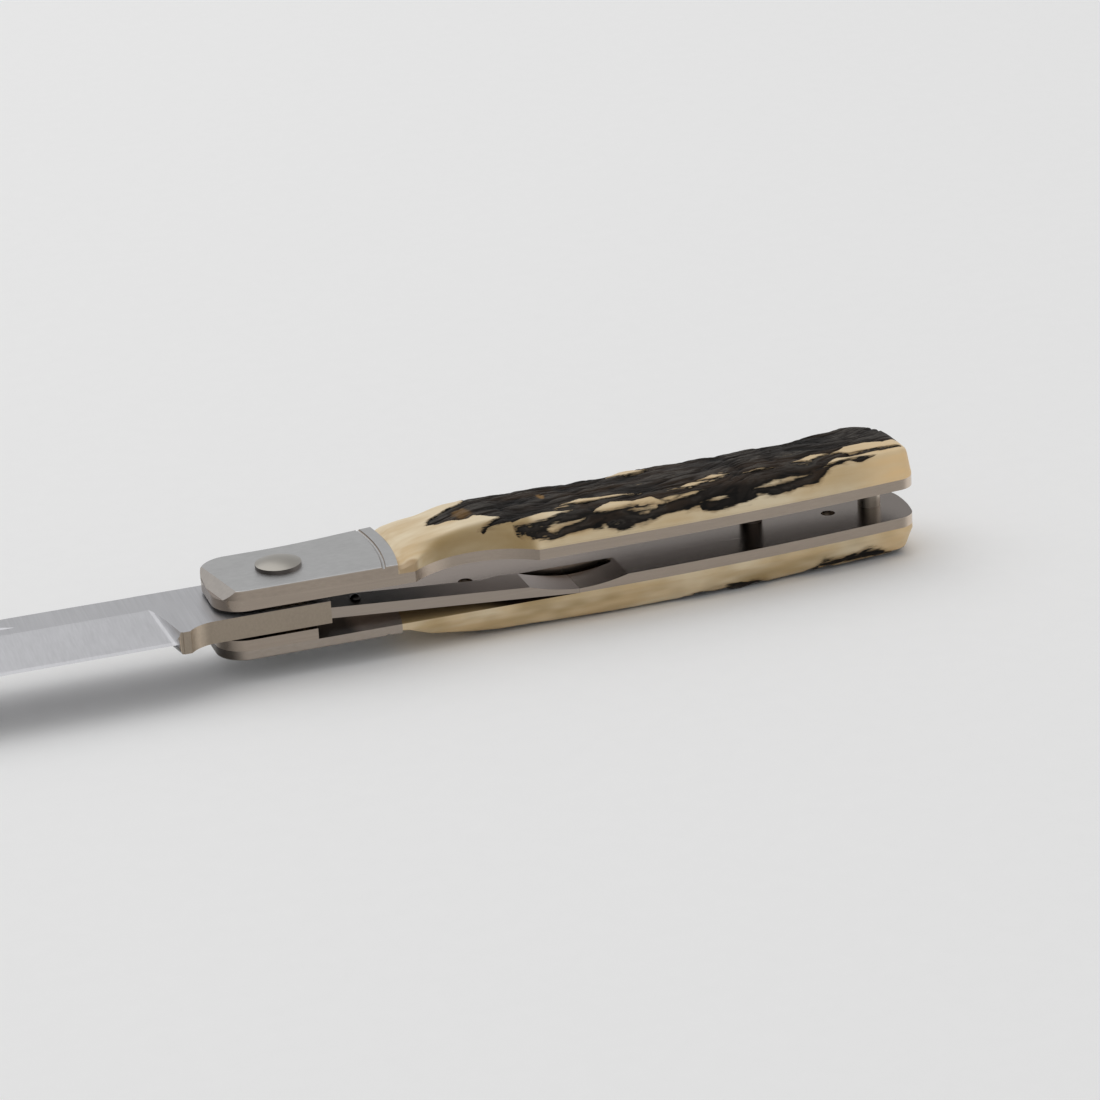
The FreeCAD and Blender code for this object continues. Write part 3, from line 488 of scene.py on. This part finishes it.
def along_cords(x, y, seed):
    """Place across the cords: the place across the slab, less their lean to the spine, plus a slow wander."""
    return y - CORD_TILT * x + CORD_WANDER * field(x, y, *CORD_WANDER_CELL, seed)


def cords(x, y, seed):
    """The bark's lengthwise cords, 0 in the creases and 1 on the crests: layers of the size of a random field
    whose cells are long and narrow and follow the cords' wander, from broad cords to fine ones."""
    over = along_cords(x, y, seed)
    total = np.zeros_like(x)
    for number, (length, width, share) in enumerate(CORD_LAYERS, seed + 1):
        total += share * np.minimum(1.0, CORD_GAIN * np.abs(field(x, over, length, width, number)))
    return total


def ragged(x, y, seed):
    """Millimetres by which the bark's borders wander: pointed tongues and small teeth along the cords."""
    over = along_cords(x, y, seed - 1)
    tongues = TONGUES[0] * field(x, over, *TONGUES[1:], seed)
    return tongues + TEETH[0] * field(x, over, *TEETH[1:], seed + 1)


def bark_relief(sanded, cord):
    """Height of the bark over the sanded dome: sunk, with cords standing up and a crease at its border."""
    bark = 1.0 - rise(sanded, *BARK_BORDER)
    crease = rise(sanded, *CREASE_NEAR) * (1.0 - rise(sanded, *CREASE_FAR))
    return bark * (CORD_HEIGHT * (cord - CORD_LEVEL) - BARK_SINK) - CREASE_SINK * crease


def slab_mesh(name, x, y, height, tints, side):
    """Closed mesh of a scale: its domed top, upright walls down to the liner and a flat foot, which takes the
    second material. The tints of the top are kept as attributes and go down the walls, where the bark gives
    way to bone; side is 1 for the front scale and -1 for the back."""
    rows, columns = x.shape
    number = np.arange(rows * columns).reshape(rows, columns)
    loop = np.concatenate([number[:, 0], number[-1, 1:], number[-2::-1, -1], number[0, -2:0:-1]])
    level = np.linspace(1.0, 0.0, WALL_ROWS + 1)[1:, None]
    flat_x, flat_y, flat_h = x.ravel(), y.ravel(), height.ravel()
    wall_x = np.broadcast_to(flat_x[loop], (WALL_ROWS, len(loop)))
    wall_y = np.broadcast_to(flat_y[loop], (WALL_ROWS, len(loop)))
    wall_h = flat_h[loop][None, :] * level
    points = np.stack([
        np.concatenate([flat_x, wall_x.ravel()]),
        np.concatenate([flat_y, wall_y.ravel()]),
        side * (LINER_OUT + np.concatenate([flat_h, wall_h.ravel()])),
    ], 1)
    ring = np.concatenate([loop[None, :], rows * columns + np.arange(wall_h.size).reshape(wall_h.shape)])
    ring_next = np.roll(ring, -1, 1)
    top = np.stack([number[:-1, :-1], number[1:, :-1], number[1:, 1:], number[:-1, 1:]], -1).reshape(-1, 4)
    wall = np.stack([ring[:-1], ring[1:], ring_next[1:], ring_next[:-1]], -1).reshape(-1, 4)
    near_foot = ring[-1][:rows]
    far_foot = ring[-1][rows + columns - 2:2 * rows + columns - 2][::-1]
    foot = np.stack([near_foot[:-1], far_foot[:-1], far_foot[1:], near_foot[1:]], -1)
    faces = np.concatenate([top, wall, foot])
    if side < 0:
        faces = faces[:, ::-1]
    mesh = bpy.data.meshes.new(name)
    mesh.from_pydata((points * MM + np.array(pivot)).tolist(), [], faces.tolist())
    drop = flat_h[loop][None, :] - wall_h
    for label, values in tints.items():
        on_wall = np.broadcast_to(values.ravel()[loop], wall_h.shape)
        if label == "sanded":
            on_wall = np.maximum(on_wall, WALL_BARK) + WALL_BONE * drop
        held = np.concatenate([values.ravel(), on_wall.ravel()])
        mesh.attributes.new(label, "FLOAT", "POINT").data.foreach_set("value", held.astype(np.float32))
    is_foot = np.arange(len(faces)) >= len(top) + len(wall)
    mesh.polygons.foreach_set("material_index", is_foot.astype(np.int32))
    mesh.polygons.foreach_set("use_smooth", ~is_foot)
    mesh.set_sharp_from_angle(angle=SHARP_ANGLE)
    scale = bpy.data.objects.new(name, mesh)
    bpy.context.collection.objects.link(scale)
    return scale


# The front scale is cream at the joint, where it is sanded level with the bolster, and bark covers most of
# its top. The thumb relief is cut through its near flank; two screws from inside the liner hold it.
CROWN_STATIONS = [15.5, 16.5, 17.5, 20.5, 23.5, 26.5, 29.5, 33.0, 42.0, 48.0, 57.5, 75.0, 88.0, 92.0, 96.4]
CROWN_HEIGHTS = [1.45, 1.5, 2.1, 2.8, 3.4, 4.05, 4.4, 4.45, 4.2, 4.1, 4.4, 4.45, 4.5, 4.5, 4.4]
CROWN_LIMIT = 4.5
FAR_BUMPS = 0.16
FRONT_SAG = 0.8
FRONT_SLOPE = 1.5
BUTT_SLOPE = 2.5
FRONT_RIM = 0.25
FRONT_SHOULDER = 0.35
BUTT_SHOULDER = 0.3
BUTT_ROUND = 2.8
BUTT_SAG = 0.3
BUTT_CREASE = 0.45
BUTT_HEIGHT = 4.6
RELIEF_START = 18.0
RELIEF_END = 36.4
RELIEF_ROUND = 1.1
RELIEF_RUN_IN = 5.0
RELIEF_RUN_OUT = (-1.0, 0.5)
LEAST_HEIGHT = 0.15
BUTT_RUN = (78.0, 90.0)
BUTT_LEVEL_FROM = 1.5
BUTT_LEVEL_SLOPE = 0.8
CROWN_WAVES = 0.1
RAGGED_FROM = (19.0, 24.0)
START_SLOPE = 0.5
FAR_BAND = 0.6
PATCH_RAGGED = 0.3
CORD_MIDDLE = 0.55
CORD_BITE = 0.22
SLIVER_LEVEL = 0.93
SLIVER_GAIN = 1.5
SLIVER_LOSS = 0.25
BARK_START = [
    (-7.0, 21.0), (0.0, 22.4), (1.5, 22.3), (2.4, 22.4), (3.5, 23.3), (4.5, 25.5), (5.5, 28.0), (6.5, 29.0),
    (8.0, 29.5), (9.0, 27.0), (10.2, 23.0),
]
BARK_EDGE = [
    (22.0, 1.6), (24.1, 0.5), (25.4, 0.2), (26.8, -0.7), (27.9, -0.9), (28.8, -0.3), (30.4, -1.5),
    (32.2, -2.4), (33.2, -3.4), (33.4, -5.0), (34.9, -5.7), (35.8, -6.3), (37.8, -6.6), (39.6, -6.6),
    (41.3, -6.3), (46.7, -6.1), (48.3, -6.6), (50.4, -6.6), (52.8, -6.4), (55.4, -5.8), (57.0, -5.7),
    (59.4, -5.9), (61.3, -5.6), (61.6, -5.9), (63.4, -6.1), (65.5, -5.9), (67.1, -5.8), (69.2, -5.6),
    (70.6, -5.1), (72.9, -5.3), (74.8, -5.1), (76.8, -4.8), (78.8, -4.8), (80.2, -4.5), (81.6, -3.8),
    (83.8, -3.5), (87.6, -3.6), (89.5, -3.3), (90.8, -2.3), (92.9, -1.9), (94.4, -1.5), (94.8, -0.9),
    (95.3, 2.4), (95.6, 4.4), (96.2, 8.0),
]
CREAM_PATCHES = [
    [(32.5, -5.0, -4.1), (33.7, -4.9, -4.2), (35.8, -4.9, -3.8), (38.2, -4.8, -3.1), (40.0, -4.4, -3.3),
     (41.2, -4.0, -3.7)],
    [(37.6, -5.7, -5.6), (38.9, -6.0, -5.4), (40.5, -5.7, -5.3), (42.6, -5.5, -5.3)],
    [(43.0, -1.5, -1.1), (44.7, -1.8, -0.4), (47.9, -1.6, -1.0), (50.5, -1.7, -1.2), (53.2, -2.1, -1.9)],
    [(45.0, -4.8, -4.7), (47.2, -5.0, -3.7), (48.6, -4.9, -3.1), (51.6, -4.7, -3.9), (54.5, -4.9, -3.8),
     (55.7, -5.0, -4.8)],
    [(52.5, 6.4, 7.0), (54.0, 5.7, 8.0), (56.3, 5.8, 6.6)],
    [(55.7, -4.7, -4.6), (57.2, -4.8, -4.4), (58.7, -4.5, -4.4)],
    [(58.1, -4.8, -4.7), (59.6, -4.8, -4.3), (61.0, -4.6, -4.2), (61.9, -4.3, -4.2)],
    [(59.3, -2.9, -2.7), (60.8, -3.3, -2.0), (62.4, -2.7, -2.0)],
    [(62.7, -5.3, -5.1), (64.5, -5.3, -4.8), (65.9, -5.1, -4.9)],
    [(63.7, -1.5, -1.2), (65.1, -1.7, -0.5), (66.2, -1.4, -0.9)],
    [(70.3, -1.5, -1.3), (72.1, -1.4, -0.9), (73.7, -1.2, -1.0)],
    [(71.2, -4.5, -4.4), (73.4, -4.5, -3.9), (76.1, -4.2, -3.7), (78.0, -3.9, -3.8)],
    [(78.9, -0.9, -0.5), (80.0, -1.3, 0.2), (80.9, -0.9, 0.7), (82.9, -0.2, 0.3)],
    [(81.8, -3.3, -3.2), (84.0, -3.1, -1.9), (86.1, -3.0, -2.4), (88.0, -3.1, -2.3), (90.5, -3.4, -2.1)],
    [(85.1, -0.3, 0.3), (86.5, -1.5, 1.4), (89.9, -1.1, 1.8), (92.5, -1.1, 1.0), (96.4, -1.0, 2.4)],
]
BARK_PATCHES = [[(30.0, -3.7, -3.5), (32.2, -4.0, -2.4), (33.7, -4.1, -2.4), (36.2, -3.7, -2.6)]]
AMBER_SPOTS = [(27.6, 1.9, 1.5, 2.1, 0.45), (40.0, 3.1, 0.6, 1.2, 0.8), (16.8, -6.8, 2.2, 1.2, 0.85)]

x, y = slab_grid("front_scale")
from_near, from_far, from_butt, offset = inset(x, y)
cord = cords(x, y, 21)
edge_reach, edge_side = np.array(BARK_EDGE).T
start_side, start_reach = np.array(BARK_START).T
before_bark = START_SLOPE * (np.interp(y, start_side, start_reach) - x)
sanded = np.maximum(np.interp(x, edge_reach, edge_side) - y, before_bark)
behind_ramp = rise(x, *RAGGED_FROM)
sanded = np.maximum(sanded, FAR_BAND - from_far) + ragged(x, y, 11) * behind_ramp
for stations in CREAM_PATCHES:
    sanded = np.maximum(sanded, patch(x, y, stations) - PATCH_TRIM + PATCH_RAGGED * ragged(x, y, 15))
for stations in BARK_PATCHES:
    sanded = np.minimum(sanded, -patch(x, y, stations))
slivers = SLIVER_GAIN * (cord - SLIVER_LEVEL) - SLIVER_LOSS * rise(y, -3.5, 0.0)
sanded = np.maximum(sanded + CORD_BITE * (cord - CORD_MIDDLE) * behind_ramp, slivers)
rim = FRONT_RIM + (RIM_AT_JOINT - FRONT_RIM) * (1.0 - rise(x, JOINT_REACH, JOINT_REACH + RIM_RUN))
at_butt = rise(x, *BUTT_RUN)
flank = rim + (FRONT_SLOPE + BUTT_SLOPE * at_butt) * np.minimum(from_near, from_far)
butt_end = FRONT_RIM + round_end(from_butt, BUTT_ROUND, BUTT_HEIGHT)
butt_end += BUTT_LEVEL_SLOPE * np.maximum(from_butt - BUTT_LEVEL_FROM, 0.0)
flank = soft_least(flank, butt_end, BUTT_CREASE)
sag = (FRONT_SAG + (BUTT_SAG - FRONT_SAG) * at_butt) * offset ** 2
crown = np.interp(x, CROWN_STATIONS, CROWN_HEIGHTS) - sag + CROWN_WAVES * field(x, y, 9.0, 5.0, 3)
crown += FAR_BUMPS * field(x, y, 3.2, 4.0, 4) * rise(offset, 0.1, 0.7)
shoulder = FRONT_SHOULDER + BUTT_SHOULDER * at_butt
front_height = soft_least(flank, crown + bark_relief(sanded, cord), shoulder)
run_in = rise(x, RELIEF_START, RELIEF_START + RELIEF_RUN_IN)
run_out = rise(x, *(RELIEF_END + run for run in RELIEF_RUN_OUT))
in_relief = run_in * (1.0 - run_out)
rounded = RELIEF_ROUND - round_end(y - y[:, :1], RELIEF_ROUND, RELIEF_ROUND)
front_height = np.clip(front_height - in_relief * rounded, LEAST_HEIGHT, CROWN_LIMIT)
amber = np.zeros_like(x)
for centre_x, centre_y, half_length, half_width, depth in AMBER_SPOTS:
    from_centre = np.hypot((x - centre_x) / half_length, (y - centre_y) / half_width)
    from_centre += 0.25 * field(x, y, 1.0, 0.6, 17)
    amber = np.maximum(amber, depth * (1.0 - rise(from_centre, 0.5, 1.1)))
# The relief's wall and the near flank turn brownish, partly the bone's colour and partly painted shade.
band = (1.0 - rise(from_near, 0.3, 1.6)) * rise(x, 36.0, 40.0) * (1.0 - 0.8 * at_butt)
tan = in_relief * (1.0 - rise(from_near, 3.5, 4.6)) + 0.15 * band
gold = rise(x, 84.0, 93.0) * (1.0 - 0.6 * rise(front_height, 3.4, 4.4))
front_tints = {"sanded": sanded, "cord": cord, "amber": amber, "tan": tan, "gold": gold}
front_stag = slab_mesh("front_stag", x, y, front_height, front_tints, 1)
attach(front_stag, "handle")
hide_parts("front_scale")

# The back scale is level with its bolster in front too. Its near flank is sanded to a rounded cream band, and
# its bark shows only at the bottom of that band and beneath; two screws from inside the liner hold it.
BACK_STATIONS = [
    15.5, 16.5, 20.0, 26.0, 30.0, 38.0, 47.0, 62.0, 65.0, 67.5, 70.0, 74.0, 79.0, 83.0, 91.0, 96.4,
]
BACK_HEIGHTS = [1.45, 1.5, 2.9, 3.95, 4.35, 4.6, 4.75, 4.75, 4.65, 5.1, 5.0, 4.75, 4.5, 4.65, 4.6, 4.2]
BACK_BUTT_HEIGHT = 6.0
BACK_FAR_BAND = 1.4
BACK_JOINT_CREAM = 27.0
BACK_JOINT_SLOPE = 0.35
BACK_CORD_BITE = 0.3
BACK_WANDER = 0.2
BACK_RAGGED_FROM = (20.0, 26.0)
BACK_LIMIT = 4.92
BACK_SAG = 0.25
BACK_SLOPE = 2.2
BACK_RIM = 0.8
BACK_SHOULDER = 0.5
BACK_BARK_EDGE = [
    (16.0, 3.6), (54.0, 2.8), (60.0, 1.9), (64.0, 1.4), (67.0, 1.1), (70.0, 1.4), (74.0, 2.6), (77.0, 1.8),
    (79.5, 1.1), (84.0, 0.8), (90.0, 0.9), (93.0, 1.6),
]
BACK_STREAKS = 46
BACK_BUTT_CREAM = 2.0

x, y = slab_grid("back_scale")
from_near, from_far, from_butt, offset = inset(x, y)
cord = cords(x, y, 41)
edge_reach, edge_depth = np.array(BACK_BARK_EDGE).T
sanded = np.maximum(np.interp(x, edge_reach, edge_depth) - from_near, BACK_FAR_BAND - from_far)
sanded = np.maximum(sanded, BACK_BUTT_CREAM - from_butt)
sanded = np.maximum(sanded, BACK_JOINT_SLOPE * (BACK_JOINT_CREAM - x))
streak_rng = np.random.default_rng(5)
for _ in range(BACK_STREAKS):
    start, middle = streak_rng.uniform(24.0, 90.0), streak_rng.uniform(-4.0, 9.0)
    length, half_width = streak_rng.uniform(4.0, 11.0), streak_rng.uniform(0.2, 0.6)
    centre, end = middle + 0.5 * CORD_TILT * length, middle + CORD_TILT * length
    widest = (start + 0.4 * length, centre - half_width, centre + half_width)
    streak = [(start, middle, middle), widest, (start + length, end, end)]
    sanded = np.maximum(sanded, patch(x, y, streak))
wander = ragged(x, y, 31) + BACK_CORD_BITE * (cord - CORD_MIDDLE) + BACK_WANDER * field(x, y, 6.0, 1.0, 33)
sanded = sanded + wander * rise(x, *BACK_RAGGED_FROM)
rim = BACK_RIM + (RIM_AT_JOINT - BACK_RIM) * (1.0 - rise(x, JOINT_REACH, JOINT_REACH + RIM_RUN))
flank = rim + BACK_SLOPE * np.minimum(from_near, from_far)
flank = np.minimum(flank, BACK_RIM + round_end(from_butt, BUTT_ROUND, BACK_BUTT_HEIGHT))
crown = np.interp(x, BACK_STATIONS, BACK_HEIGHTS) - BACK_SAG * offset ** 2
crown += CROWN_WAVES * field(x, y, 5.0, 6.0, 7)
back_height = np.minimum(soft_least(flank, crown + bark_relief(sanded, cord), BACK_SHOULDER), BACK_LIMIT)
# Further out from the liner, down its rounded flank, the back scale turns brownish, partly its colour and
# partly painted shade, with a random mottle.
mottle = 0.6 * field(x, back_height, 7.0, 1.8, 51) + 0.4 * field(x, back_height, 2.6, 0.9, 52)
tan = np.clip(0.22 + 0.40 * rise(back_height, 1.5, 4.6) + 0.7 * mottle, 0.0, 1.0)
gold = 0.6 * rise(x, 84.0, 93.0)
back_tints = {"sanded": sanded, "cord": cord, "amber": np.zeros_like(tan), "tan": tan, "gold": gold}
back_stag = slab_mesh("back_stag", x, y, back_height, back_tints, -1)
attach(back_stag, "handle")
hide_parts("back_scale")

# Stag's colours: polished cream bone that turns brownish on the flanks, partly its own colour and partly
# painted shade, golden at the butt and brown beside the bark; and brown-black bark, black in its creases and
# beside the bone, partly its own colour and partly painted shade, and greyer on its crests, partly worn and
# partly a painted highlight. The foot on the liner is bone in front, dimmed partly as painted shade, and
# painted dark behind, a painted shade.
BONE_PALE = (0.78, 0.67, 0.48, 1.0)
BONE_DEEP = (0.60, 0.44, 0.24, 1.0)
BONE_BROWN_AND_SHADE = (0.34, 0.235, 0.10, 1.0)
BONE_GOLD = (0.86, 0.60, 0.31, 1.0)
FRINGE_BROWN = (0.20, 0.115, 0.045, 1.0)
AMBER_BROWN = (0.30, 0.17, 0.06, 1.0)
BARK_BLACK_AND_SHADE = (0.004, 0.0035, 0.003, 1.0)
BARK_DARK = (0.014, 0.0115, 0.010, 1.0)
BARK_BROWN = (0.032, 0.021, 0.014, 1.0)
BARK_GREY = (0.085, 0.075, 0.065, 1.0)
FOOT_SHADE_BLACK = (0.012, 0.007, 0.005, 1.0)
FOOT_SHADE_BROWN = (0.035, 0.02, 0.012, 1.0)
FOOT_BONE_AND_SHADE = (0.42, 0.30, 0.15, 1.0)
CORE_START = pivot.x + 0.026
CORE_END = pivot.x + 0.032
FLECK_STEPS = (700.0, 2600.0, 2600.0)
FIBRE_STEPS = (260.0, 5200.0, 5200.0)
GRAIN_STEPS = (60.0, 800.0, 800.0)
CLOUD_STEPS = (70.0, 220.0, 220.0)
CORE_STEPS = (300.0, 900.0, 900.0)
STAG_BUMP_STRENGTH = 0.3
STAG_BUMP_DEPTH = 0.0002

stag, bone_shader, stag_place, _ = new_finish("stag")
kept = {
    label: stag_place.node("ShaderNodeAttribute", {"attribute_name": label}, {}, "Fac")
    for label in ("sanded", "cord", "amber", "tan", "gold")
}
fleck = stag_place.noise(FLECK_STEPS, 4.0)
fibre = stag_place.noise(FIBRE_STEPS, 5.0)
grain = stag_place.noise(GRAIN_STEPS)
cloud = stag_place.noise(CLOUD_STEPS)
feathered = kept["sanded"] + 0.5 * (fleck - 0.5) + 0.5 * (fibre - 0.5)
bark_cover = 1.0 - feathered.rise(-0.12, 0.12)
fringe = (1.0 - kept["sanded"].rise(0.0, 0.4)) * (0.6 * fleck + 0.4 * fibre).rise(0.38, 0.62)
bone = (0.75 * cloud.rise(0.35, 0.65) + 0.3 * grain.rise(0.25, 0.75)).mix(BONE_PALE, BONE_DEEP)
bone = (kept["tan"] * (0.55 + 0.6 * cloud)).mix(bone, BONE_BROWN_AND_SHADE)
bone = (kept["gold"] * (0.4 + 0.7 * grain)).mix(bone, BONE_GOLD)
bone = (0.6 * fringe).mix(bone, FRINGE_BROWN)
bone = (kept["amber"] * (0.6 + 0.5 * grain)).mix(bone, AMBER_BROWN)
bone.feed(bone_shader, "Base Color")
(0.36 + 0.12 * grain).feed(bone_shader, "Roughness")
# Bark is black in its creases, partly its own colour and partly painted shade, and black beside the bone, a
# painted shade of the crease at its border; its crests are greyer, partly worn and partly a painted
# highlight.
worn_crest_highlight = kept["cord"].rise(0.5, 0.95) * (0.3 + 0.7 * fibre.rise(0.3, 0.75))
bark = kept["cord"].rise(0.08, 0.45).mix(BARK_BLACK_AND_SHADE, cloud.rise(0.45, 0.7).mix(BARK_DARK, BARK_BROWN))
bark = worn_crest_highlight.mix(bark, BARK_GREY)
bark = (0.85 * kept["sanded"].rise(-0.4, -0.12)).mix(bark, BARK_BLACK_AND_SHADE)
bark = (0.9 * kept["amber"]).mix(bark, AMBER_BROWN)
stag_height = (0.5 * fleck + fibre) * bark_cover + 0.05 * grain
stag_bump = fleck.node(
    "ShaderNodeBump",
    {},
    {"Strength": STAG_BUMP_STRENGTH, "Distance": STAG_BUMP_DEPTH, "Height": stag_height},
    "Normal",
)
stag_bump.feed(bone_shader, "Normal")
bone_shader.inputs["Specular IOR Level"].default_value = 0.3
bark_shader = bark.node(
    "ShaderNodeBsdfPrincipled",
    {},
    {"Base Color": bark, "Roughness": 0.5 + 0.25 * fibre, "Specular IOR Level": 0.1, "Normal": stag_bump},
)
stag_surface = bark_cover.node(
    "ShaderNodeMixShader", {}, {0: bark_cover, 1: Shade(bone_shader.outputs[0]), 2: bark_shader}
)
stag_surface.feed(stag.node_tree.nodes["Material Output"], "Surface")

# The foot is bone in front, dimmed partly as painted shade, and painted dark brown and black behind, a
# painted shade.
core, core_shader, core_place, _ = new_finish("stag_foot_and_shade")
foot_shade = core_place.noise(CORE_STEPS).mix(FOOT_SHADE_BLACK, FOOT_SHADE_BROWN)
core_place.part("X").rise(CORE_START, CORE_END).mix(FOOT_BONE_AND_SHADE, foot_shade).feed(core_shader, "Base Color")
core_shader.inputs["Roughness"].default_value = 0.85
core_shader.inputs["Specular IOR Level"].default_value = 0.1
for slab in (front_stag, back_stag):
    slab.data.materials.append(stag)
    slab.data.materials.append(core)
